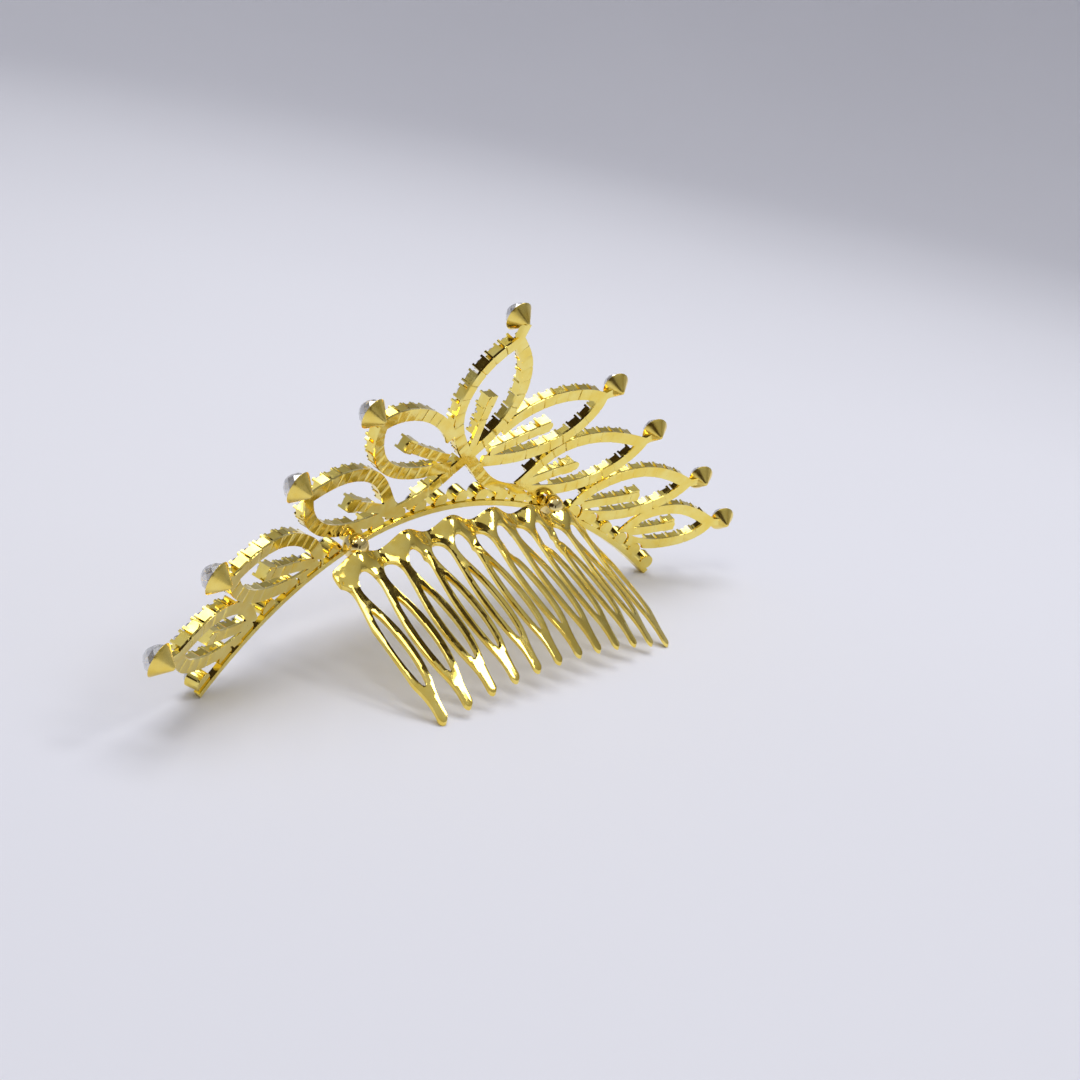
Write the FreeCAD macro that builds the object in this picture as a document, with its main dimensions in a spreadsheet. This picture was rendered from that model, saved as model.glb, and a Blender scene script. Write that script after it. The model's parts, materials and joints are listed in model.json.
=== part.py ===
import FreeCAD, Part
import math
import os
from FreeCAD import Placement, Rotation, Vector

# A tiara-style hair comb: a leaf-petal crown of stone-set metal strips on an arched band,
# soldered to a stamped twelve-tooth comb.  Millimetres, +Z up, front towards -Y.
# The comb stands as it does on a table: on the two ends of its band and on its outer teeth.
# The crown is a curved sheet, so its depth is a function of how far across and how high a point
# is, and each strip is drawn in the front view and wrapped on that sheet.

doc = FreeCAD.newDocument("hair_comb")
sheet = doc.addObject("Spreadsheet::Sheet", "Sizes")

DRIVING_SIZES = (
    # the curved sheet that every crown piece lies on
    ("sheet_depth_at_base", -9.1, "depth of the back surface at the foot of the mirror plane"),
    ("sheet_lean", 0.087, "how fast the sheet leans back with height, at the foot"),
    ("sheet_lean_growth", 0.00267, "extra lean per millimetre of height"),
    ("sheet_wrap", 0.0032, "how fast the sides sweep back"),
    ("sheet_wrap_growth", 0.000029, "extra sweep per millimetre of height"),
    # strips of set stones
    ("strip_width", 1.95, "width of a petal strip"),
    ("strip_thickness", 0.45, "thickness of the flat back of a strip"),
    ("end_cell_width", 2.2, "width of the larger box setting at the end of a stamen"),
    ("stamen_width", 1.6, "width of a stamen strip"),
    ("cell_pitch", 2.4, "distance from one stone to the next"),
    ("cell_length", 2.12, "length of one box setting"),
    ("cell_depth", 1.25, "depth of one box setting in front of the strip"),
    ("prong_height", 0.4, "height of a prong above its box"),
    ("prong_width", 0.36, "width of a prong"),
    ("stone_radius", 0.66, "radius of a petal stone"),
    # band
    ("band_radius", 83.0, "radius of the lower edge of the rail, seen from the front"),
    ("band_half_angle", 38.1, "half of the angle that the rail spans, degrees"),
    ("rail_width", 0.95, "width of the rail, seen from the back"),
    ("rail_thickness", 1.25, "depth of the rail"),
    ("band_cup_number", 24, "number of stone cups on the band"),
    ("band_cup_angle", 3.22, "angle from one band cup to the next, degrees"),
    ("band_cup_radius", 1.5, "outer radius of a band cup"),
    ("band_cup_depth", 2.1, "depth of a band cup"),
    # tip cups and their crystals
    ("tip_cup_radius", 2.45, "outer radius of a tip cup at its rim"),
    ("tip_cup_depth", 2.3, "depth of a tip cup from apex to rim"),
    ("tip_cup_apex_radius", 0.25, "radius of the blunt apex of a tip cup"),
    ("tip_cup_wall", 0.3, "wall of a tip cup"),
    ("tip_cup_setback", 1.1, "how far the apex of a side tip cup stands behind the sheet"),
    ("crystal_height", 1.9, "height of a crystal above the rim"),
    # comb
    ("tooth_pitch", 4.9, "distance from one tooth to the next"),
    ("tooth_number", 12, "number of teeth"),
    ("comb_thickness", 0.6, "thickness of the comb sheet, measured upright"),
    ("header_back", -2.2, "depth at which the header of the comb ends"),
    ("tooth_end", 21.9, "depth at which the teeth end"),
    ("tooth_tip_radius", 0.8, "radius of a tooth's blunt end"),
    ("header_wave", 0.75, "height of the corrugation of the header"),
    ("comb_arch", 0.0049, "how fast the comb drops towards its sides"),
    # solder
    ("solder_radius", 2.0, "radius of a solder bead"),
)

for row, (alias, value, note) in enumerate(DRIVING_SIZES, start=1):
    sheet.set(f"A{row}", alias)
    sheet.set(f"B{row}", str(value))
    sheet.set(f"C{row}", note)
    sheet.setAlias(f"B{row}", alias)
doc.recompute()


def size(alias):
    """A driving dimension, read back from the spreadsheet."""
    return float(sheet.get(alias))


strip_width = size("strip_width")
strip_thickness = size("strip_thickness")
band_radius = size("band_radius")
band_half_angle = math.radians(size("band_half_angle"))
band_centre_height = -band_radius * math.cos(band_half_angle)
rail_width = size("rail_width")

FRONT = Vector(0, -1, 0)
UP = Vector(0, 0, 1)
# half extents of the curved sheet, a little larger than the crown
SHEET_HALF_SPAN = 72.0
SHEET_LOW = -6.0
SHEET_HIGH = 56.0
PRISM_REACH = 60.0


# ---------------------------------------------------------------- the curved sheet

def sheet_depth(across, height):
    """Depth (Y) of the back surface of the crown."""
    return (
        size_depth_at_base
        + size_lean * height
        + size_lean_growth * height ** 2
        + size_wrap * across ** 2
        + size_wrap_growth * across ** 2 * height
    )


size_depth_at_base = size("sheet_depth_at_base")
size_lean = size("sheet_lean")
size_lean_growth = size("sheet_lean_growth")
size_wrap = size("sheet_wrap")
size_wrap_growth = size("sheet_wrap_growth")


def on_sheet(across, height):
    return Vector(across, sheet_depth(across, height), height)


def sheet_normal(across, height):
    """Unit normal of the back surface, pointing to the front of the crown."""
    slope_across = 2 * size_wrap * across + 2 * size_wrap_growth * across * height
    slope_up = size_lean + 2 * size_lean_growth * height + size_wrap_growth * across ** 2
    return Vector(slope_across, -1, slope_up).normalize()


def spaced(low, high, number):
    return [low + (high - low) * i / (number - 1) for i in range(number)]


def crown_surface():
    grid = [
        [on_sheet(across, height) for height in spaced(SHEET_LOW, SHEET_HIGH, 9)]
        for across in spaced(-SHEET_HALF_SPAN, SHEET_HALF_SPAN, 13)
    ]
    surface = Part.BSplineSurface()
    surface.interpolate(grid)
    return surface.toShape()


CROWN_FACE = crown_surface()


def front_prism(face):
    """A front-view face drawn in the XZ plane, extruded right through the crown."""
    moved = face.copy()
    moved.translate(-FRONT * PRISM_REACH)
    return moved.extrude(FRONT * 2 * PRISM_REACH)


def wrapped(face, thickness, start=0.0):
    """A front-view face wrapped on the curved sheet and given a thickness to the front."""
    patch = CROWN_FACE.common(front_prism(face))
    patch.translate(FRONT * start)
    return patch.extrude(FRONT * thickness)


# ---------------------------------------------------------------- drawing helpers

def spline_edge(points):
    curve = Part.BSplineCurve()
    curve.interpolate(points)
    return curve


def front_points(pairs, side=1):
    return [Vector(side * across, 0, height) for across, height in pairs]


def sampled(points, step):
    """Evenly spaced stations (point, unit tangent) along a smooth line through points."""
    edge = spline_edge(points).toShape()
    number = max(2, int(round(edge.Length / step)) + 1)
    stations = []
    for distance in spaced(0.0, edge.Length, number):
        parameter = edge.getParameterByLength(distance)
        stations.append((edge.valueAt(parameter), edge.tangentAt(parameter)))
    return stations


def strip_face(points, width, round_end=False):
    """The front-view outline of a strip of the given width along a smooth line."""
    stations = sampled(points, 2.5)
    across = Vector(0, 1, 0)
    left = [place + tangent.cross(across) * (width / 2) for place, tangent in stations]
    right = [place - tangent.cross(across) * (width / 2) for place, tangent in stations]
    edges = [spline_edge(left).toShape()]
    end_place, end_tangent = stations[-1]
    if round_end:
        crown = end_place + end_tangent * (width / 2)
        edges.append(Part.Arc(left[-1], crown, right[-1]).toShape())
    else:
        edges.append(Part.makeLine(left[-1], right[-1]))
    edges.append(spline_edge(right[::-1]).toShape())
    edges.append(Part.makeLine(right[0], left[0]))
    return Part.Face(Part.Wire(edges))


def polyhedron(rings):
    """A closed faceted solid: rings of (radius, height, turn) with the same number of corners."""
    loops = []
    for radius, height, turn in rings:
        loops.append([
            Vector(radius * math.cos(angle + turn), radius * math.sin(angle + turn), height)
            for angle in (2 * math.pi * i / FACETS for i in range(FACETS))
        ])
    faces = [Part.Face(Part.makePolygon(loops[0] + loops[0][:1]))]
    for lower, upper in zip(loops, loops[1:]):
        for i in range(FACETS):
            j = (i + 1) % FACETS
            for corners in ((lower[i], lower[j], upper[i]), (lower[j], upper[j], upper[i])):
                faces.append(Part.Face(Part.makePolygon(list(corners) + [corners[0]])))
    faces.append(Part.Face(Part.makePolygon(loops[-1] + loops[-1][:1])))
    return Part.Solid(Part.makeShell(faces))


FACETS = 10
HALF_FACET = math.pi / FACETS


def sheet_placement(across, height, tangent, depth=0.0):
    """A placement on the sheet: X along the strip, Z to the front, depth measured forward."""
    normal = sheet_normal(across, height)
    along = (tangent - normal * tangent.dot(normal)).normalize()
    sideways = normal.cross(along)
    turn = Rotation(along, sideways, normal, "ZXY")
    return Placement(on_sheet(across, height) + normal * depth, turn)


def placed(shape, placement):
    result = shape.copy()
    result.Placement = placement
    return result


# ---------------------------------------------------------------- one stone and its box setting

cell_length = size("cell_length")
cell_depth = size("cell_depth")
prong_height = size("prong_height")
prong_width = size("prong_width")
stone_radius = size("stone_radius")
STONE_CLEARANCE = 0.03
SEAT_DEPTH = 0.4
# how far a box setting reaches back into the strip that carries it
CELL_ROOT = 0.35


def box_setting(width):
    """An open box with a round seat and four corner prongs; its back is at Z = 0."""
    depth = cell_depth + CELL_ROOT
    box = Part.makeBox(cell_length, width, depth, Vector(-cell_length / 2, -width / 2, 0))
    seat = Part.makeCylinder(
        stone_radius + STONE_CLEARANCE, SEAT_DEPTH + 1, Vector(0, 0, depth - SEAT_DEPTH))
    prongs = []
    for end in (-1, 1):
        for side in (-1, 1):
            corner = Vector(
                end * (cell_length - prong_width) / 2 - prong_width / 2,
                side * (width - prong_width) / 2 - prong_width / 2,
                depth - CELL_ROOT)
            prongs.append(Part.makeBox(prong_width, prong_width, prong_height + CELL_ROOT, corner))
    return box.fuse(prongs).cut(seat).removeSplitter()


def cut_stone(radius, height):
    """A flat-backed faceted stone standing on Z = 0."""
    return polyhedron((
        (radius, 0, 0),
        (radius, 0.5 * height, 0),
        (0.82 * radius, 0.78 * height, HALF_FACET),
        (0.5 * radius, height, 0),
    ))


STONE_HEIGHT = 0.85
# how much narrower a box setting is than its strip
STRIP_EDGE = 0.28
PETAL_CELL = box_setting(strip_width - STRIP_EDGE)
STAMEN_CELL = box_setting(size("stamen_width") - STRIP_EDGE)
END_CELL = box_setting(size("end_cell_width"))
PETAL_STONE = cut_stone(stone_radius, STONE_HEIGHT)
CELL_BACK = strip_thickness * 0.97 - CELL_ROOT
STONE_BACK = CELL_BACK + CELL_ROOT + cell_depth - SEAT_DEPTH


# ---------------------------------------------------------------- the crown's lines, front view

# Each line runs from the base to the tip; (across, up).  The other side is its mirror image.
CENTRE_LIMB = ((0, 27.0), (3.1, 30.0), (5.5, 33.3), (6.4, 36.6), (6.1, 39.6),
               (4.6, 43.0), (2.4, 45.4), (0, 47.3))
RIBBON = ((0, 27.0), (3.1, 24.7), (6.6, 22.1), (10.2, 20.5), (15, 19.5), (21, 18.9),
          (27, 19.3), (31.2, 20.5), (34.7, 22.5), (37.1, 25.0), (38.4, 27.5))
PETAL_1_UPPER = ((5.9, 31.0), (8.0, 33.0), (10.8, 34.7), (14, 36.0),
                 (17.6, 36.8), (21.2, 37.0), (25.2, 36.3))
PETAL_1_LOWER = ((3.6, 25.9), (7.6, 25.8), (11.2, 25.9), (14.6, 26.4),
                 (18, 27.4), (21.2, 29.1), (23.5, 31.4),
                 (24.9, 33.9), (25.2, 36.3))
PETAL_2_UPPER = ((14.4, 20.2), (16.4, 22.2), (18.4, 24.4), (21.2, 26.6),
                 (25, 28.1), (29.4, 28.7), (34, 28.4), (38.4, 27.5))
PETAL_3_UPPER = ((29.2, 13.6), (30.2, 16.0), (32.4, 18.2), (35.4, 19.9),
                 (38.8, 21.1), (42.4, 21.6), (46.6, 21.1), (51.8, 19.2))
PETAL_3_LOWER = ((29.4, 13.8), (33.0, 13.1), (36.4, 12.8), (40.0, 12.9),
                 (43.6, 13.5), (47.0, 14.8), (49.9, 16.7), (51.8, 19.2))
PETAL_4_UPPER = ((42.6, 8.8), (44.2, 10.8), (46.6, 12.7), (49.8, 13.6),
                 (53.2, 13.7), (56.8, 12.7), (60.4, 11.0))
PETAL_4_LOWER = ((43.2, 8.2), (46.4, 6.9), (50.0, 6.4), (53.8, 6.7), (57.2, 7.7), (59.2, 9.0), (60.4, 11.0))
STAMEN_0 = ((0, 28.4), (0, 31.4), (0, 34.2), (0, 37.0))
STAMEN_1 = ((4.9, 27.4), (8.6, 28.5), (12.4, 29.8), (16.2, 31.2))
STAMEN_2 = ((15.6, 20.4), (19.0, 21.3), (22.6, 22.3), (26.0, 23.2))
STAMEN_3 = ((31.2, 15.0), (34.8, 15.5), (38.4, 15.9), (42.2, 16.6))
STAMEN_4 = ((44.0, 9.1), (47.0, 9.3), (50.0, 9.7), (52.6, 10.3))
# centre of each tip cup, just beyond its petal's tip
TIP_CUPS = {0: (0, 50.1), 1: (27.7, 37.9), 2: (40.6, 29.2), 3: (54.8, 19.8), 4: (63.5, 11.0)}

SIDES = {"right": 1, "left": -1}
names_done = []


def sub_part(name, shape, placement=None):
    """A feature whose shape is built with Part's functions; its Label names the file."""
    feature = doc.addObject("Part::Feature", name)
    feature.Label = name
    feature.Shape = shape
    if placement is not None:
        feature.Placement = placement
    names_done.append(name)
    return feature


def largest(parts):
    return max(parts, key=lambda part: part.Volume if part.Solids else part.Area)


def near(first, second, reach=0.05):
    """Whether two shapes' boxes come within reach of each other."""
    box = first.BoundBox
    box.enlarge(reach)
    return box.intersect(second.BoundBox)


def cut_back(shape, others):
    """The shape cut back to the neighbours that it meets."""
    close = [other for other in others if near(shape, other)]
    return shape.cut(close) if close else shape


# ---------------------------------------------------------------- tip cups and crystals

def cup_apex_depth(across):
    """How far in front of the sheet a tip cup's apex is: the centre cup sits on the sheet."""
    return 0.0 if across == 0 else -size("tip_cup_setback")


def tip_cup(name, across, height):
    """A hollow cone on the sheet, apex to the back, made from two bound cones."""
    placement = sheet_placement(across, height, UP, cup_apex_depth(across))
    outer = doc.addObject("Part::Cone", name + "_outside")
    outer.setExpression("Radius1", "Sizes.tip_cup_apex_radius")
    outer.setExpression("Radius2", "Sizes.tip_cup_radius")
    outer.setExpression("Height", "Sizes.tip_cup_depth")
    outer.Placement = placement
    inner = doc.addObject("Part::Cone", name + "_inside")
    inner.setExpression("Radius1", "Sizes.tip_cup_apex_radius")
    inner.setExpression("Radius2", "Sizes.tip_cup_radius - Sizes.tip_cup_wall")
    inner.setExpression("Height", "Sizes.tip_cup_depth - 2 * Sizes.tip_cup_wall")
    normal = sheet_normal(across, height)
    inner.Placement = Placement(
        placement.Base + normal * 2 * size("tip_cup_wall"), placement.Rotation)
    cup = doc.addObject("Part::Cut", name)
    cup.Base = outer
    cup.Tool = inner
    cup.Label = name
    names_done.append(name)
    doc.recompute()
    return cup, outer.Shape.copy()


def tip_crystal_shape():
    """A faceted crystal whose pavilion fills the tip cup; Z = 0 is the rim of the cup."""
    bore = size("tip_cup_radius") - size("tip_cup_wall")
    drop = size("tip_cup_depth") - 2 * size("tip_cup_wall")
    top = size("crystal_height")
    inset = math.cos(HALF_FACET)
    return polyhedron((
        (size("tip_cup_apex_radius") * inset, -drop, 0),
        (bore * inset, 0, 0),
        (0.99 * bore * inset, 0.16 * top, 0),
        (0.84 * bore, 0.55 * top, HALF_FACET),
        (0.58 * bore, 0.86 * top, 0),
        (0.3 * bore, top, HALF_FACET),
    ))


TIP_CRYSTAL = tip_crystal_shape()
cone_solids = {}


def each_petal():
    """(number, side name, mirror sign) of the centre petal and of the four on each side."""
    yield 0, "centre", 1
    for number in (1, 2, 3, 4):
        for side, sign in SIDES.items():
            yield number, side, sign


def numbered(base, number, side):
    return f"{base}_centre" if number == 0 else f"{base}_{number}_{side}"


for number, side, sign in each_petal():
    across, height = TIP_CUPS[number]
    name = numbered("tip_cup", number, side)
    cup, solid = tip_cup(name, sign * across, height)
    cone_solids[number, side] = solid
    rim = sheet_placement(
        sign * across, height, UP, cup_apex_depth(across) + size("tip_cup_depth"))
    sub_part(numbered("tip_crystal", number, side), TIP_CRYSTAL, rim)


# ---------------------------------------------------------------- band: rail, cups, stones

def band_point(radius, angle):
    return Vector(radius * math.sin(angle), 0, band_centre_height + radius * math.cos(angle))


def rail_face():
    low = band_radius
    high = band_radius + rail_width
    end = band_half_angle
    edges = (
        Part.Arc(band_point(low, -end), band_point(low, 0), band_point(low, end)).toShape(),
        Part.makeLine(band_point(low, end), band_point(high, end)),
        Part.Arc(band_point(high, end), band_point(high, 0), band_point(high, -end)).toShape(),
        Part.makeLine(band_point(high, -end), band_point(low, -end)),
    )
    return Part.Face(Part.Wire(edges))


rail = largest(wrapped(rail_face(), size("rail_thickness")).Solids)
sub_part("band_rail", rail)

cup_radius = size("band_cup_radius")
cup_depth = size("band_cup_depth")
CUP_SETBACK = 0.25
BAND_SEAT_DEPTH = 0.6
BAND_STONE_HEIGHT = 1.35
band_stone_radius = cup_radius - 0.3
cup_circle = band_radius + 1.65


def band_cup():
    """A round cup with a seat for its stone; its back is at Z = 0."""
    body = Part.makeCone(cup_radius - 0.15, cup_radius, cup_depth)
    seat = Part.makeCylinder(
        band_stone_radius + STONE_CLEARANCE, BAND_SEAT_DEPTH + 1,
        Vector(0, 0, cup_depth - BAND_SEAT_DEPTH))
    return body.cut(seat)


band_cups = []
band_stones = []
cup_centres = []
cup_number = int(size("band_cup_number"))
for index in range(cup_number):
    angle = math.radians(size("band_cup_angle")) * (index - (cup_number - 1) / 2)
    centre = band_point(cup_circle, angle)
    tangent = Vector(math.cos(angle), 0, -math.sin(angle))
    back = sheet_placement(centre.x, centre.z, tangent, CUP_SETBACK)
    floor = sheet_placement(
        centre.x, centre.z, tangent, CUP_SETBACK + cup_depth - BAND_SEAT_DEPTH)
    band_cups.append(placed(band_cup(), back).cut(rail))
    cup_centres.append(centre)
    band_stones.append(placed(cut_stone(band_stone_radius, BAND_STONE_HEIGHT), floor))
sub_part("band_cups", Part.makeCompound(band_cups))
sub_part("band_stones", Part.makeCompound(band_stones))


# ---------------------------------------------------------------- strips, cells and stones

# Front-view footprints of what is built so far: a strip stops where it meets them.
FOOT_MARGIN = 0.1
NECK_THICKNESS = 0.9


def disc_face(centre, radius):
    return Part.Face(Part.Wire(Part.makeCircle(radius, centre, Vector(0, 1, 0))))


footprints = [rail_face()]
footprints += [disc_face(centre, cup_radius + FOOT_MARGIN) for centre in cup_centres]
# (points, radius) that box settings keep clear of
occupied = [(cup_centres, cup_radius + FOOT_MARGIN)]
rail_middle = [
    band_point(band_radius + rail_width / 2, band_half_angle * i / 80) for i in range(-80, 81)]
occupied.append((rail_middle, rail_width / 2))
occupied.append((
    [Vector(sign * across, 0, height) for across, height in TIP_CUPS.values() for sign in (1, -1)],
    size("tip_cup_radius") - 0.2))
taken_cells = []


def has_room(place, tangent, width):
    """Whether a box setting here stays clear of everything built before."""
    sideways = tangent.cross(Vector(0, 1, 0))
    corners = [
        place + tangent * (i * cell_length / 2) + sideways * (j * width / 2)
        for i in (-1, 0, 1) for j in (-1, 0, 1)]
    for points, radius in occupied:
        for point in points:
            if point.distanceToPoint(place) > radius + cell_length:
                continue
            if any(corner.distanceToPoint(point) < radius for corner in corners):
                return False
    return all(place.distanceToPoint(other) > cell_length for other in taken_cells)


def cells_along(points, cell, width, first, last, end_cell):
    """Box settings and stones along a line, wherever the neighbours leave room."""
    edge = spline_edge(points).toShape()
    usable = edge.Length - first - last
    number = int(usable // size("cell_pitch")) + 1
    start = first + (usable - (number - 1) * size("cell_pitch")) / 2
    boxes = []
    stones = []
    for index in range(number):
        parameter = edge.getParameterByLength(start + index * size("cell_pitch"))
        place = edge.valueAt(parameter)
        tangent = edge.tangentAt(parameter)
        if has_room(place, tangent, width):
            taken_cells.append(place)
            setting = end_cell if index == number - 1 else cell
            boxes.append(placed(setting, sheet_placement(place.x, place.z, tangent, CELL_BACK)))
            stones.append(placed(PETAL_STONE, sheet_placement(place.x, place.z, tangent, STONE_BACK)))
    return boxes, stones


def neck(tip, cup_key, side):
    """The short tongue that joins a petal's tip to its cup, cut to the cup's flank."""
    outline = strip_face(front_points((tip, TIP_CUPS[cup_key[0]]), side), strip_width * 0.72)
    outline = largest(cut_back(outline, footprints).Faces)
    return wrapped(outline, NECK_THICKNESS).cut(cone_solids[cup_key])


def build_strip(name, lines, cells, width, sign=1, tip=None, cup_key=None, round_end=False, ends=(1.3, 1.3)):
    """A strip piece along one or more lines, with its box settings; returns its stones."""
    outlines = [strip_face(front_points(line, sign), width, round_end) for line in lines]
    outline = outlines[0].fuse(outlines[1:]).removeSplitter() if len(outlines) > 1 else outlines[0]
    outline = largest(cut_back(outline, footprints).Faces)
    back = wrapped(outline, strip_thickness)
    boxes = []
    stones = []
    for line in lines:
        new_boxes, new_stones = cells_along(
            front_points(line, sign), cells[0], width - STRIP_EDGE, *ends, cells[-1])
        boxes += new_boxes
        stones += new_stones
    pieces = boxes
    if cup_key is not None:
        pieces = boxes + [neck(tip, cup_key, sign)]
    whole = back.fuse(pieces) if pieces else back
    sub_part(name, largest(whole.Solids))
    footprints.append(outline)
    for line in lines:
        middle = [place for place, _ in sampled(front_points(line, sign), 0.4)]
        occupied.append((middle, width / 2))
    return stones


def mirrored_lines(*lines):
    return [tuple((-across, height) for across, height in line) for line in lines]


stones_of = {}
both_limbs = [CENTRE_LIMB] + mirrored_lines(CENTRE_LIMB)
stones_of[0, "centre"] = build_strip(
    "petal_centre", both_limbs, [PETAL_CELL], strip_width, 1, (0, 46.4), (0, "centre"))
for side, sign in SIDES.items():
    ribbon_stones = build_strip(f"ribbon_{side}", [RIBBON], [PETAL_CELL], strip_width, sign, ends=(2.2, 0.6))
    sub_part(f"ribbon_stones_{side}", Part.makeCompound(ribbon_stones))

PETAL_LINES = {
    1: (PETAL_1_UPPER, PETAL_1_LOWER),
    2: (PETAL_2_UPPER,),
    3: (PETAL_3_UPPER, PETAL_3_LOWER),
    4: (PETAL_4_UPPER, PETAL_4_LOWER),
}
for number, lines in PETAL_LINES.items():
    for side, sign in SIDES.items():
        stones_of[number, side] = build_strip(
            f"petal_{number}_{side}", lines, [PETAL_CELL], strip_width, sign,
            lines[0][-1], (number, side))

STAMEN_LINES = {0: STAMEN_0, 1: STAMEN_1, 2: STAMEN_2, 3: STAMEN_3, 4: STAMEN_4}
for number, side, sign in each_petal():
    stones_of[number, side] += build_strip(
        numbered("stamen", number, side), [STAMEN_LINES[number]], [STAMEN_CELL, END_CELL],
        size("stamen_width"), sign, round_end=True, ends=(1.1, 0.2))
for (number, side), stones in stones_of.items():
    sub_part(numbered("stones", number, side), Part.makeCompound(stones))


# ---------------------------------------------------------------- comb

tooth_pitch = size("tooth_pitch")
tooth_number = int(size("tooth_number"))
tooth_end = size("tooth_end")
tip_radius = size("tooth_tip_radius")
header_back = size("header_back")
COMB_PROFILE = ((-3.5, 19.5), (-1.0, 17.7), (1.5, 15.9), (5.2, 14.0),
                (11.3, 11.0), (17.4, 7.6), (20.2, 5.6), (24, 2.4))
WAVE_FADE_START = -1.4
WAVE_FADE_END = 1.4


def comb_surface():
    """Upper surface of the comb: a side-view profile, arched across, corrugated at the header."""
    profile = spline_edge([Vector(0, depth, height) for depth, height in COMB_PROFILE]).toShape()
    cut = Part.Plane(Vector(0, 0, 0), Vector(0, 1, 0))
    half = tooth_pitch * (tooth_number / 2 + 0.5)
    columns = tooth_number * 4 + 5
    grid = []
    for depth in [-3.4, -2.2, -1.0, 0.2, 1.4, 2.6, 3.8, 5.0, 7.0, 10.0, 13.5, 17.0, 20.0, 23.8]:
        cut.Position = Vector(0, depth, 0)
        height = profile.Curve.intersectCS(cut)[0][0].Z
        fade = min(1.0, max(0.0, (WAVE_FADE_END - depth) / (WAVE_FADE_END - WAVE_FADE_START)))
        wave = size("header_wave") * fade ** 2 * (3 - 2 * fade)
        row = []
        for across in spaced(-half, half, columns):
            drop = size("comb_arch") * across ** 2
            ripple = -wave * math.cos(math.pi * across / tooth_pitch)
            row.append(Vector(across, depth, height - drop + ripple))
        grid.append(row)
    surface = Part.BSplineSurface()
    surface.interpolate(grid)
    return surface.toShape()


def plan_edge(centre, pairs):
    return spline_edge([Vector(centre + across, depth, 0) for across, depth in pairs]).toShape()


def gap_face(centre):
    """The gap between two teeth: a round top, a waist at the slits, flared round the tips."""
    half = tooth_pitch / 2
    foot = tooth_end - tip_radius
    side = ((0, -0.2), (1.1, 0.3), (1.72, 1.5), (1.65, 3.2), (1.15, 5.6), (0.62, 8.4), (0.38, 11.3),
            (0.5, 14.0), (0.9, 16.5), (1.4, 18.2), (half - tip_radius, 19.6), (half - tip_radius, foot))
    lean = tip_radius * math.sqrt(0.5)
    edges = []
    for sign in (1, -1):
        edges.append(plan_edge(centre, [(sign * across, depth) for across, depth in side]))
        edges.append(Part.Arc(
            Vector(centre + sign * (half - tip_radius), foot, 0),
            Vector(centre + sign * (half - lean), foot + lean, 0),
            Vector(centre + sign * half, tooth_end, 0)).toShape())
    edges.append(Part.makeLine(Vector(centre - half, tooth_end, 0), Vector(centre + half, tooth_end, 0)))
    return Part.Face(Part.Wire(Part.__sortEdges__(edges)))


def slit_face(centre):
    """The lens-shaped slit down the middle of a tooth."""
    side = ((0, 4.8), (0.42, 6.0), (0.82, 8.6), (1.0, 11.4), (0.9, 14.2),
            (0.66, 16.0), (0.4, 16.9), (0, 17.3))
    edges = [plan_edge(centre, [(sign * across, depth) for across, depth in side])
             for sign in (1, -1)]
    return Part.Face(Part.Wire(Part.__sortEdges__(edges)))


def comb_shape():
    half = tooth_pitch * tooth_number / 2
    plan = Part.makePlane(
        2 * half - 1.6, tooth_end - header_back, Vector(-half + 0.8, header_back, 0))
    cutters = [gap_face(tooth_pitch * (i - tooth_number / 2)) for i in range(tooth_number + 1)]
    cutters += [slit_face(tooth_pitch * (i - (tooth_number - 1) / 2)) for i in range(tooth_number)]
    plan = plan.cut(cutters)
    plan.translate(-UP * PRISM_REACH)
    patch = comb_surface().common(plan.extrude(UP * 2 * PRISM_REACH))
    solid = largest(patch.extrude(-UP * size("comb_thickness")).Solids)
    solid.translate(-UP * min(point.z for point in solid.tessellate(0.02)[0]))
    return solid


comb = comb_shape()
sub_part("comb", comb)


# ---------------------------------------------------------------- solder beads

SOLDER_CENTRES = {"right": Vector(22.8, -3.9, 16.2), "left": Vector(-22.8, -3.9, 16.2)}
comb_feature = doc.getObject("comb")
for side, centre in SOLDER_CENTRES.items():
    bead = doc.addObject("Part::Sphere", f"solder_bead_{side}")
    bead.setExpression("Radius", "Sizes.solder_radius")
    bead.Placement = Placement(centre, Rotation())
    clear = doc.addObject("Part::Cut", f"solder_clear_{side}")
    clear.Base = bead
    clear.Tool = comb_feature
    doc.recompute()
    sub_part(f"solder_{side}", largest(cut_back(clear.Shape, [rail] + band_cups).Solids))


# ---------------------------------------------------------------- origin

# Everything is drawn from the crown's sheet; the origin belongs in the middle of the footprint.
finished = [doc.getObjectsByLabel(name)[0] for name in names_done]
boxes = [feature.Shape.optimalBoundingBox() for feature in finished]
middle_depth = (min(box.YMin for box in boxes) + max(box.YMax for box in boxes)) / 2
to_origin = Placement(Vector(0, -middle_depth, 0), FreeCAD.Rotation())
for feature in finished:
    feature.Placement = to_origin * feature.Placement
print(f"moved back by {middle_depth:.3f} mm")


# ---------------------------------------------------------------- check and write

doc.recompute()
for item in doc.Objects:
    if "Invalid" in item.State or "Error" in item.State:
        raise RuntimeError(f"{item.Name} did not build: {item.State}")
os.makedirs("parts", exist_ok=True)
for name in names_done:
    feature = doc.getObjectsByLabel(name)[0]
    shape = feature.Shape
    if shape.isNull() or not shape.isValid() or not shape.Solids:
        raise RuntimeError(f"{name} is not a valid solid")
    shape.exportStep(f"parts/{name}.step")
    print(f"{name}: {len(shape.Solids)} solids, {shape.Volume:.1f} mm3")
print(len(names_done), "sub-parts")
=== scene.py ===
import json
import math

import bmesh
import bpy
import numpy
from mathutils import Matrix, Vector
from mathutils.bvhtree import BVHTree
from mathutils.geometry import delaunay_2d_cdt
from mathutils.kdtree import KDTree


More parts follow.
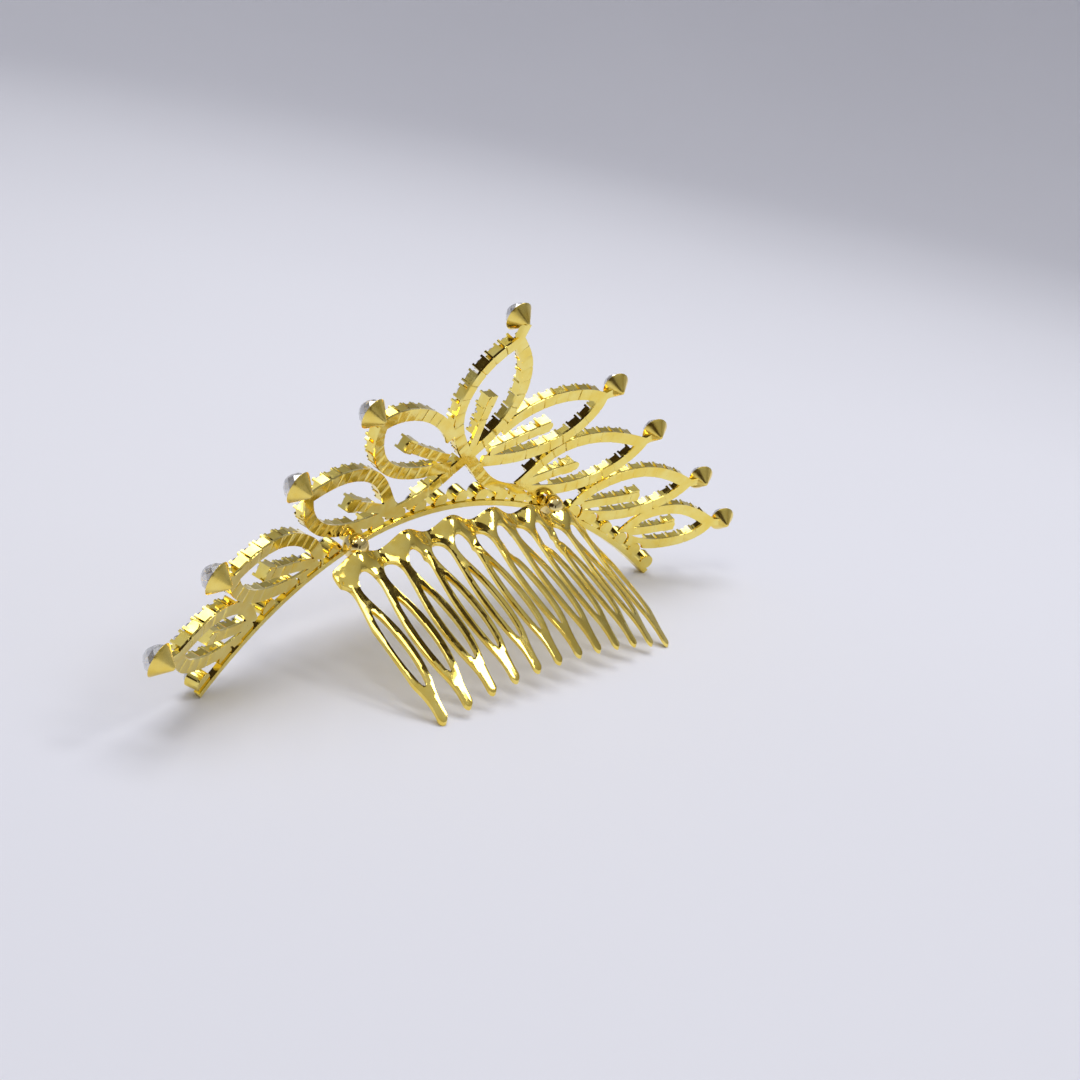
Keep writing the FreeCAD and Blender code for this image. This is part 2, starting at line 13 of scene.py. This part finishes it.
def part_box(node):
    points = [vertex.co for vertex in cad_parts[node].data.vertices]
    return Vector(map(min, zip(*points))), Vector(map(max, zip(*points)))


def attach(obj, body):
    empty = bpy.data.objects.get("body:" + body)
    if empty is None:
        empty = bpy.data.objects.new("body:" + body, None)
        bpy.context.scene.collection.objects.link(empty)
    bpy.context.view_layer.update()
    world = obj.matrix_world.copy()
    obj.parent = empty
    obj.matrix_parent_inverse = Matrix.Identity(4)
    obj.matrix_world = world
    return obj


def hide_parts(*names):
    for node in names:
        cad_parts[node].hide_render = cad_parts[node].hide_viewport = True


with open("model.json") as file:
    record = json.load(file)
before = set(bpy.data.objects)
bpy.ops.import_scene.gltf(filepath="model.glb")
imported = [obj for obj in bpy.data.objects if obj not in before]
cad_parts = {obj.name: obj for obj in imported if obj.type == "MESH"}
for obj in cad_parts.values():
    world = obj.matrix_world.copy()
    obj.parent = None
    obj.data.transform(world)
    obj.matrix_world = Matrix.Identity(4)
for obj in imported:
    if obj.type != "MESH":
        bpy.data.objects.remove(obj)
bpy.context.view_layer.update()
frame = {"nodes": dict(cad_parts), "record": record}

MM = 0.001


# ---------------------------------------------------------------- material helpers

def new_material(name):
    """(material, nodes, links, principled shader)"""
    material = bpy.data.materials.new(name)
    material.use_nodes = True
    nodes = material.node_tree.nodes
    return material, nodes, material.node_tree.links, nodes["Principled BSDF"]


def object_noise(nodes, links, scale, detail=3.0, roughness=0.55):
    """Noise in object coordinates: the same pattern from every side."""
    place = nodes.new("ShaderNodeTexCoord")
    noise = nodes.new("ShaderNodeTexNoise")
    noise.inputs["Scale"].default_value = scale
    noise.inputs["Detail"].default_value = detail
    noise.inputs["Roughness"].default_value = roughness
    links.new(place.outputs["Object"], noise.inputs["Vector"])
    return noise


def spread(nodes, links, source, low, high, start=0.3, end=0.7):
    """A 0 to 1 value stretched from start..end to low..high."""
    scale = nodes.new("ShaderNodeMapRange")
    scale.inputs["From Min"].default_value = start
    scale.inputs["From Max"].default_value = end
    scale.inputs["To Min"].default_value = low
    scale.inputs["To Max"].default_value = high
    links.new(source, scale.inputs["Value"])
    return scale.outputs["Result"]


def two_tone(nodes, links, source, first, second):
    ramp = nodes.new("ShaderNodeValToRGB")
    ramp.color_ramp.elements[0].position = 0.35
    ramp.color_ramp.elements[0].color = (*first, 1.0)
    ramp.color_ramp.elements[1].position = 0.65
    ramp.color_ramp.elements[1].color = (*second, 1.0)
    links.new(source, ramp.inputs["Fac"])
    return ramp.outputs["Color"]


def bump(nodes, links, shader, source, distance, strength=1.0):
    node = nodes.new("ShaderNodeBump")
    node.inputs["Distance"].default_value = distance
    node.inputs["Strength"].default_value = strength
    links.new(source, node.inputs["Height"])
    links.new(node.outputs["Normal"], shader.inputs["Normal"])


def gold_plate(name, light, deep, wave=0.012 * MM, low=0.04, high=0.13):
    """Polished gold plating: faint thickness changes, a rippled surface, soft smears."""
    material, nodes, links, shader = new_material(name)
    shader.inputs["Metallic"].default_value = 1.0
    smear = object_noise(nodes, links, 420.0, 4.0)
    links.new(two_tone(nodes, links, smear.outputs["Fac"], light, deep),
              shader.inputs["Base Color"])
    haze = object_noise(nodes, links, 900.0, 5.0, 0.65)
    links.new(spread(nodes, links, haze.outputs["Fac"], low, high), shader.inputs["Roughness"])
    ripple = object_noise(nodes, links, 650.0, 2.0)
    bump(nodes, links, shader, ripple.outputs["Fac"], wave)
    return material


def cut_glass(name, tint, roughness):
    """Clear cut glass with faint internal smears."""
    material, nodes, links, shader = new_material(name)
    shader.inputs["IOR"].default_value = 1.6
    shader.inputs["Transmission Weight"].default_value = 0.55
    shader.inputs["Metallic"].default_value = 0.45
    cloud = object_noise(nodes, links, 700.0, 3.0)
    links.new(two_tone(nodes, links, cloud.outputs["Fac"], tint, (1.0, 1.0, 1.0)),
              shader.inputs["Base Color"])
    links.new(spread(nodes, links, cloud.outputs["Fac"], 0.0, roughness),
              shader.inputs["Roughness"])
    return material


MATERIALS = {
    "gold": gold_plate("crown_gold", (1.0, 0.84, 0.25), (0.97, 0.74, 0.14)),
    "cup_gold": gold_plate("cup_gold", (1.0, 0.80, 0.22), (0.95, 0.70, 0.13), low=0.16, high=0.26),
    "comb_gold": gold_plate("comb_gold", (0.99, 0.80, 0.22), (0.94, 0.70, 0.13), 0.004 * MM),
    "solder": gold_plate("solder_gold", (0.97, 0.80, 0.36), (0.92, 0.70, 0.24), 0.08 * MM),
    "rhinestone": cut_glass("rhinestone_glass", (0.86, 0.88, 0.92), 0.05),
    "crystal": cut_glass("crystal_glass", (0.92, 0.93, 0.96), 0.04),
}
SLOT_OF = {part["node"]: part["material_slot"] for part in frame["record"]["subparts"]}


# ---------------------------------------------------------------- pieces

UP = Vector((0.0, 0.0, 1.0))
FINE = 0.002 * MM


def cad_mesh(node_name):
    """The welded mesh of a CAD node."""
    mesh = bmesh.new()
    mesh.from_mesh(frame["nodes"][node_name].data)
    bmesh.ops.remove_doubles(mesh, verts=mesh.verts, dist=FINE)
    return mesh


def joined_mesh(node_name, flat=0.4):
    """The welded mesh of a CAD node, facets that differ by less than flat degrees joined."""
    mesh = cad_mesh(node_name)
    bmesh.ops.dissolve_limit(
        mesh, angle_limit=math.radians(flat), verts=mesh.verts, edges=mesh.edges)
    return mesh


def finished(node_name, mesh, smooth=True):
    """The mesh as the finished piece for a CAD node."""
    for face in mesh.faces:
        face.smooth = smooth
    name = f"{node_name}_finish"
    data = bpy.data.meshes.new(name)
    mesh.to_mesh(data)
    mesh.free()
    data.materials.clear()
    look = "cup_gold" if node_name.startswith("tip_cup") else SLOT_OF[node_name]
    data.materials.append(MATERIALS[look])
    piece = bpy.data.objects.new(name, data)
    bpy.context.scene.collection.objects.link(piece)
    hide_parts(node_name)
    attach(piece, "root")
    return piece


def round_corners(piece, width, segments, corner=35.0, by_weight=False):
    """Bevel the edges sharper than corner degrees, or the weighted ones, and shade evenly."""
    bevel = piece.modifiers.new("rounding", "BEVEL")
    bevel.width = width
    bevel.segments = segments
    bevel.limit_method = "WEIGHT" if by_weight else "ANGLE"
    bevel.angle_limit = math.radians(corner)
    shade = piece.modifiers.new("shading", "WEIGHTED_NORMAL")
    shade.keep_sharp = True


def rounded_piece(node_name):
    """A CAD node with its corners softened by plating."""
    softened = 0.12 * MM
    round_corners(finished(node_name, joined_mesh(node_name)), softened, 3)


def islands(mesh):
    """The centres of the separate solids in a mesh, in the order they were made."""
    centres, seen = [], set()
    for start in mesh.verts:
        if start in seen:
            continue
        seen.add(start)
        waiting, members = [start], []
        while waiting:
            vert = waiting.pop()
            members.append(vert.co)
            for edge in vert.link_edges:
                other = edge.other_vert(vert)
                if other not in seen:
                    seen.add(other)
                    waiting.append(other)
        centres.append(sum(members, Vector()) / len(members))
    return centres


def press_lines(mesh, stones_name):
    """A shallow cross line pressed into the back of a strip wherever two of its boxes meet."""
    longest_step = 2.95 * MM
    half_width = 0.2 * MM
    depth = 0.13 * MM
    reach = 1.5 * MM
    cut_reach = 2.4 * MM
    facing_back = 0.7
    stones = cad_mesh(stones_name)
    centres = islands(stones)
    stones.free()
    tree = BVHTree.FromBMesh(mesh)
    behind = Vector((0.0, 6 * MM, 0.0))
    for first, second in zip(centres, centres[1:]):
        if (second - first).length > longest_step:
            continue
        place, normal, _, _ = tree.ray_cast((first + second) / 2 + behind, -behind)
        if place is None or normal.y < facing_back:
            continue
        along = second - first
        along = (along - normal * along.dot(normal)).normalized()
        for offset in (-half_width, half_width, 0.0):
            near = [face for face in mesh.faces
                    if min((vert.co - place).length for vert in face.verts) < cut_reach]
            edges = {edge for face in near for edge in face.edges}
            verts = {vert for face in near for vert in face.verts}
            cut = bmesh.ops.bisect_plane(
                mesh, geom=near + list(edges) + list(verts), dist=FINE / 2,
                plane_co=place + along * offset, plane_no=along)
        for item in cut["geom_cut"]:
            if not isinstance(item, bmesh.types.BMVert):
                continue
            away = item.co - place
            if away.length < reach and away.dot(normal) > -0.5 * depth:
                item.co -= normal * depth


def strip_piece(node_name):
    """A stone-set strip: the rims of its pressed back well rounded, its boxes only a little."""
    back_rim = 0.3 * MM
    box_share = 0.22
    sharp = math.radians(50)
    facing_back = 0.8
    mesh = joined_mesh(node_name)
    press_lines(mesh, STONES_OF[node_name])
    weight = mesh.edges.layers.float.new("bevel_weight_edge")
    for edge in mesh.edges:
        if len(edge.link_faces) != 2 or edge.calc_face_angle(0.0) < sharp:
            continue
        on_back = max(face.normal.y for face in edge.link_faces) > facing_back
        edge[weight] = 1.0 if on_back else box_share
    round_corners(finished(node_name, mesh), back_rim, 3, by_weight=True)


def closed_loops(edges):
    """Closed loops of vertices from a set of edges."""
    links = {}
    for edge in edges:
        for vert in edge.verts:
            links.setdefault(vert, []).append(edge.other_vert(vert))
    loops = []
    while links:
        start = vert = next(iter(links))
        loop = []
        while vert in links:
            loop.append(vert.co.copy())
            onward = [other for other in links.pop(vert) if other in links]
            vert = onward[0] if onward else start
        loops.append(loop)
    return loops


def even_spacing(loop, gap):
    """The same closed line with points about gap apart."""
    lengths = [(b - a).length for a, b in zip(loop, loop[1:] + loop[:1])]
    number = max(8, round(sum(lengths) / gap))
    step = sum(lengths) / number
    result = []
    index, walked = 0, 0.0
    for count in range(number):
        target = count * step
        while walked + lengths[index] < target:
            walked += lengths[index]
            index += 1
        along = (target - walked) / lengths[index]
        result.append(loop[index].lerp(loop[(index + 1) % len(loop)], along))
    return result


def smooth_heights(samples, points):
    """Heights at points from a weighted quadratic through the nearest samples of a sheet."""
    neighbours = 18
    softening = 0.3
    stiffness = 0.15
    tree = KDTree(len(samples))
    for index, sample in enumerate(samples):
        tree.insert(Vector((sample.x, sample.y, 0.0)), index)
    tree.balance()
    heights = []
    for point in points:
        rows, values = [], []
        for place, index, distance in tree.find_n(Vector((point.x, point.y, 0.0)), neighbours):
            x, y = (place.x - point.x) / MM, (place.y - point.y) / MM
            weight = 1 / (distance / MM + softening)
            rows.append([weight * term for term in (1.0, x, y, x * x, x * y, y * y)])
            values.append(weight * samples[index].z)
        for term in (3, 4, 5):
            rows.append([stiffness if column == term else 0.0 for column in range(6)])
            values.append(0.0)
        heights.append(numpy.linalg.lstsq(numpy.array(rows), numpy.array(values), rcond=None)[0][0])
    return heights


def comb_piece():
    """The stamped sheet, meshed evenly so that its corrugations reflect smoothly."""
    spacing = 0.45 * MM
    thickness = 0.6 * MM
    rim_gap = 0.6 * spacing
    longest_edge = 2.5 * spacing
    rim_rounding = 0.17 * MM
    facing_up = 0.25
    source = cad_mesh("comb")
    tree = BVHTree.FromBMesh(source)
    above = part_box("comb")[1].z + 1 * MM
    upper = {face for face in source.faces if face.normal.z > facing_up}
    rim = [edge for edge in source.edges if sum(face in upper for face in edge.link_faces) == 1]
    points, pairs = [], []
    for loop in closed_loops(rim):
        line = even_spacing(loop, spacing)
        first = len(points)
        points += line
        pairs += [(first + i, first + (i + 1) % len(line)) for i in range(len(line))]
    rim_number = len(points)
    rim_tree = KDTree(rim_number)
    for index, point in enumerate(points):
        rim_tree.insert(Vector((point.x, point.y, 0.0)), index)
    rim_tree.balance()
    low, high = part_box("comb")
    columns = int((high.x - low.x) / spacing)
    rows = int((high.y - low.y) / spacing)
    for column in range(columns):
        for row in range(rows):
            place = Vector((low.x + column * spacing, low.y + (row + 0.5 * (column % 2)) * spacing, above))
            hit = tree.ray_cast(place, -UP)[0]
            if hit is None or rim_tree.find(Vector((hit.x, hit.y, 0.0)))[2] < rim_gap:
                continue
            points.append(hit)
    samples = [vert.co.copy() for vert in {vert for face in upper for vert in face.verts}]
    heights = smooth_heights(samples, points)
    points = [Vector((point.x, point.y, height)) for point, height in zip(points, heights)]
    flat = [Vector((point.x, point.y)) for point in points]
    vertices, _, faces, origins, _, _ = delaunay_2d_cdt(flat, pairs, [], 0, 1e-7)
    mesh = bmesh.new()
    made = [mesh.verts.new((place.x, place.y, points[origin[0]].z)) if origin else None
            for place, origin in zip(vertices, origins)]
    for corners in faces:
        ends = [made[i].co for i in corners]
        centre = sum(ends, Vector()) / len(ends)
        if max((a - b).length for a, b in zip(ends, ends[1:] + ends[:1])) > longest_edge:
            continue
        if tree.ray_cast(Vector((centre.x, centre.y, above)), -UP)[0] is not None:
            mesh.faces.new([made[i] for i in corners])
    bmesh.ops.delete(mesh, geom=[v for v in mesh.verts if not v.link_faces], context="VERTS")
    bmesh.ops.recalc_face_normals(mesh, faces=mesh.faces)
    if sum(face.normal.z for face in mesh.faces) < 0:
        bmesh.ops.reverse_faces(mesh, faces=mesh.faces)
    under = bmesh.ops.extrude_face_region(mesh, geom=mesh.faces[:] + mesh.edges[:] + mesh.verts[:])
    moved = [item for item in under["geom"] if isinstance(item, bmesh.types.BMVert)]
    bmesh.ops.translate(mesh, verts=moved, vec=-UP * thickness)
    bmesh.ops.recalc_face_normals(mesh, faces=mesh.faces)
    source.free()
    round_corners(finished("comb", mesh), rim_rounding, 3, corner=50.0)


def crystal_axis(crystal_name):
    """Culet, axis and (radius, height) of the corners of a crystal."""
    source = joined_mesh(crystal_name)
    caps = sorted((face.calc_center_median() for face in source.faces if len(face.verts) > 4),
                  key=lambda centre: centre.y)
    culet = caps[-1]
    axis = (caps[0] - culet).normalized()
    sizes = about_axis(source, culet, axis)
    source.free()
    return culet, axis, sizes


def about_axis(mesh, start, axis):
    sizes = []
    for vert in mesh.verts:
        height = (vert.co - start).dot(axis)
        sizes.append(((vert.co - start - axis * height).length, height))
    return sizes


def ring_of(mesh, start, axis, radius, height, number, turn=0.0):
    """A ring of vertices round an axis."""
    side = axis.orthogonal().normalized()
    other = axis.cross(side)
    ring = []
    for index in range(number):
        angle = 2 * math.pi * (index + turn) / number
        out = side * math.cos(angle) + other * math.sin(angle)
        ring.append(mesh.verts.new(start + out * radius + axis * height))
    return ring


def crystal_piece(crystal_name):
    """A cut crystal on the axis of its CAD node: pavilion, girdle, kites, triangles, table."""
    facets = 10
    culet, axis, sizes = crystal_axis(crystal_name)
    top = max(height for _, height in sizes)
    radius = max(sizes)[0] * 0.985
    rim = min(height for across, height in sizes if across > 0.93 * radius)
    mesh = bmesh.new()
    rings = []
    for share, height, turn in ((0.12, -1.0, 0.0), (0.97, 0.0, 0.0), (0.99, 0.14, 0.0),
                                (0.90, 0.46, 0.5), (0.66, 0.76, 0.0), (0.36, 0.98, 0.5)):
        along = rim * (1 + height) if height < 0 else rim + (top - rim) * height
        rings.append((ring_of(mesh, culet, axis, radius * share, along, facets, turn), turn))
    for (lower, low_turn), (upper, high_turn) in zip(rings, rings[1:]):
        for i in range(facets):
            j = (i + 1) % facets
            if low_turn == high_turn:
                mesh.faces.new((lower[i], lower[j], upper[j], upper[i]))
            elif high_turn > low_turn:
                mesh.faces.new((lower[i], lower[j], upper[i]))
                mesh.faces.new((upper[i], lower[j], upper[j]))
            else:
                mesh.faces.new((lower[i], upper[j], upper[i]))
                mesh.faces.new((lower[i], lower[j], upper[j]))
    mesh.faces.new(rings[-1][0])
    mesh.faces.new(list(reversed(rings[0][0])))
    bmesh.ops.recalc_face_normals(mesh, faces=mesh.faces)
    finished(crystal_name, mesh, smooth=False)


def cup_piece(cup_name):
    """A hollow cone drawn smoothly round the axis of its crystal."""
    number = 96
    lip_rounding = 0.07 * MM
    culet, axis, _ = crystal_axis(cup_name.replace("cup", "crystal"))
    source = cad_mesh(cup_name)
    sizes = about_axis(source, culet, axis)
    source.free()
    heights = [height for _, height in sizes]
    low, high = min(heights), max(heights)
    apex = max(across for across, height in sizes if height < low + FINE)
    at_rim = [across for across, height in sizes if height > high - FINE]
    floor = min(height for height in heights if height > low + 10 * FINE)
    inside = max(across for across, height in sizes if abs(height - floor) < FINE)
    outline = []
    steps = 6
    for step in range(steps + 1):
        share = step / steps
        outline.append((apex + (max(at_rim) - apex) * share, low + (high - low) * share))
    outline += [(min(at_rim), high), (inside, floor)]
    mesh = bmesh.new()
    rings = [ring_of(mesh, culet, axis, across, height, number) for across, height in outline]
    for lower, upper in zip(rings, rings[1:]):
        for i in range(number):
            j = (i + 1) % number
            mesh.faces.new((lower[i], lower[j], upper[j], upper[i]))
    mesh.faces.new(rings[0])
    mesh.faces.new(rings[-1])
    bmesh.ops.recalc_face_normals(mesh, faces=mesh.faces)
    round_corners(finished(cup_name, mesh), lip_rounding, 3)


def stones_piece(node_name):
    """A set of cut stones: their CAD facets, flat and sharp."""
    finished(node_name, joined_mesh(node_name, flat=0.5), smooth=False)


STONES_OF = {}
for node_name in SLOT_OF:
    family, _, rest = node_name.partition("_")
    if family in ("petal", "stamen"):
        STONES_OF[node_name] = f"stones_{rest}"
    elif node_name in ("ribbon_left", "ribbon_right"):
        STONES_OF[node_name] = f"ribbon_stones_{rest}"

for node_name, slot_name in SLOT_OF.items():
    if node_name == "comb":
        comb_piece()
    elif slot_name == "crystal":
        crystal_piece(node_name)
    elif slot_name == "rhinestone":
        stones_piece(node_name)
    elif node_name in STONES_OF:
        strip_piece(node_name)
    elif node_name.startswith("tip_cup"):
        cup_piece(node_name)
    else:
        rounded_piece(node_name)


# ---------------------------------------------------------------- stage, lights, camera

def pale_paper():
    material, nodes, links, shader = new_material("pale_paper")
    cloud = object_noise(nodes, links, 2.5, 2.0)
    links.new(two_tone(nodes, links, cloud.outputs["Fac"], (0.785, 0.79, 0.86), (0.81, 0.815, 0.885)),
              shader.inputs["Base Color"])
    shader.inputs["Roughness"].default_value = 0.75
    return material


def black_cloth():
    material, nodes, links, shader = new_material("black_cloth")
    weave = object_noise(nodes, links, 6.0, 2.0)
    links.new(two_tone(nodes, links, weave.outputs["Fac"], (0.03, 0.018, 0.008), (0.06, 0.036, 0.016)),
              shader.inputs["Base Color"])
    shader.inputs["Roughness"].default_value = 1.0
    return material


def stage_object(name, mesh, material):
    data = bpy.data.meshes.new(name)
    mesh.to_mesh(data)
    mesh.free()
    data.materials.append(material)
    thing = bpy.data.objects.new(name, data)
    bpy.context.scene.collection.objects.link(thing)
    return thing


def sweep():
    """A pale floor that curves up into a low wall all round."""
    flat, bend, top, steps = 0.8, 0.45, 0.5, 12
    outline = [Vector((0.0, 0.0, 0.0)), Vector((flat, 0.0, 0.0))]
    for step in range(1, steps + 1):
        turn = math.pi / 2 * step / steps
        outline.append(Vector((flat + bend * math.sin(turn), 0.0, bend * (1 - math.cos(turn)))))
    outline.append(Vector((flat + bend, 0.0, top)))
    mesh = bmesh.new()
    line = [mesh.verts.new(point) for point in outline]
    edges = [mesh.edges.new(pair) for pair in zip(line, line[1:])]
    bmesh.ops.spin(
        mesh, geom=line + edges, cent=(0, 0, 0), axis=(0, 0, 1), angle=2 * math.pi, steps=96)
    bmesh.ops.remove_doubles(mesh, verts=mesh.verts, dist=0.0001)
    bmesh.ops.recalc_face_normals(mesh, faces=mesh.faces)
    for face in mesh.faces:
        face.smooth = True
    stage_object("floor", mesh, pale_paper())


def black_card(name, place, target, width, height):
    """A black card outside the picture: polished metal shows it as its dark tones."""
    mesh = bmesh.new()
    corners = [(-width / 2, -height / 2, 0), (width / 2, -height / 2, 0),
               (width / 2, height / 2, 0), (-width / 2, height / 2, 0)]
    mesh.faces.new([mesh.verts.new(corner) for corner in corners])
    card = stage_object(name, mesh, black_cloth())
    card.location = place
    card.rotation_euler = (target - place).to_track_quat("-Z", "Y").to_euler()
    card.visible_camera = False
    card.visible_diffuse = False
    card.visible_shadow = False


def softbox(name, place, target, width, height, power):
    data = bpy.data.lights.new(name, "AREA")
    data.shape = "RECTANGLE"
    data.size = width
    data.size_y = height
    data.energy = power
    lamp = bpy.data.objects.new(name, data)
    lamp.location = place
    lamp.rotation_euler = (target - place).to_track_quat("-Z", "Y").to_euler()
    bpy.context.scene.collection.objects.link(lamp)


def room():
    """Grey above the sweep, brighter overhead."""
    world = bpy.data.worlds.new("room")
    world.use_nodes = True
    nodes, links = world.node_tree.nodes, world.node_tree.links
    place = nodes.new("ShaderNodeTexCoord")
    split = nodes.new("ShaderNodeSeparateXYZ")
    links.new(place.outputs["Generated"], split.inputs["Vector"])
    ramp = nodes.new("ShaderNodeValToRGB")
    stops = ramp.color_ramp.elements
    stops[0].position = 0.45
    stops[0].color = (0.22, 0.215, 0.21, 1.0)
    stops[1].position = 0.95
    stops[1].color = (0.50, 0.50, 0.53, 1.0)
    links.new(split.outputs["Z"], ramp.inputs["Fac"])
    links.new(ramp.outputs["Color"], nodes["Background"].inputs["Color"])
    nodes["Background"].inputs["Strength"].default_value = 1.0
    bpy.context.scene.world = world


def towards(azimuth, elevation):
    """Unit vector from the object towards a place round it; azimuth 0 is in front of it."""
    across, up = math.radians(azimuth), math.radians(elevation)
    return Vector((
        math.sin(across) * math.cos(up), -math.cos(across) * math.cos(up), math.sin(up)))


CAMERA_AZIMUTH = 126.06
CAMERA_ELEVATION = 19.48


def camera():
    teeth_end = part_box("comb")[1].y
    aim = Vector((-16.2 * MM, teeth_end - 21.9 * MM, 12.5 * MM))
    distance = 251 * MM
    roll = math.radians(11.54)
    back = towards(CAMERA_AZIMUTH, CAMERA_ELEVATION)
    data = bpy.data.cameras.new("camera")
    data.lens = 50.87
    data.sensor_width = 36.0
    data.clip_start = 0.01
    eye = bpy.data.objects.new("camera", data)
    turn = (-back).to_track_quat("-Z", "Y").to_matrix() @ Matrix.Rotation(roll, 3, "Z")
    eye.matrix_world = Matrix.Translation(aim + back * distance) @ turn.to_4x4()
    bpy.context.scene.collection.objects.link(eye)
    bpy.context.scene.camera = eye


sweep()
room()
camera()
middle = Vector((0.0, 0.0, 20 * MM))
# name, azimuth, elevation, distance, width and height in metres, watts
for name, azimuth, elevation, distance, width, height, power in (
        ("top_light", 305, 70, 0.75, 0.5, 0.5, 2.4),
        ("left_light", 105, 62, 0.75, 0.25, 0.35, 0.9),
        ("right_light", 238, 52, 0.75, 0.18, 0.14, 0.7)):
    softbox(name, middle + towards(azimuth, elevation) * distance, middle, width, height, power)
# name, azimuth, elevation, distance, width and height in metres
for name, azimuth, elevation, distance, width, height in (
        ("camera_card", CAMERA_AZIMUTH, 24, 0.5, 0.42, 0.30),
        ("side_card", 170, 12, 0.55, 0.12, 0.22),
        ("left_card", 36, 46, 0.5, 0.44, 0.34),
        ("front_card", 260, 64, 0.4, 0.14, 0.16),
        ("low_card", 90, 10, 0.6, 0.16, 0.16)):
    black_card(name, middle + towards(azimuth, elevation) * distance, middle, width, height)
bpy.context.scene.view_settings.view_transform = "Standard"
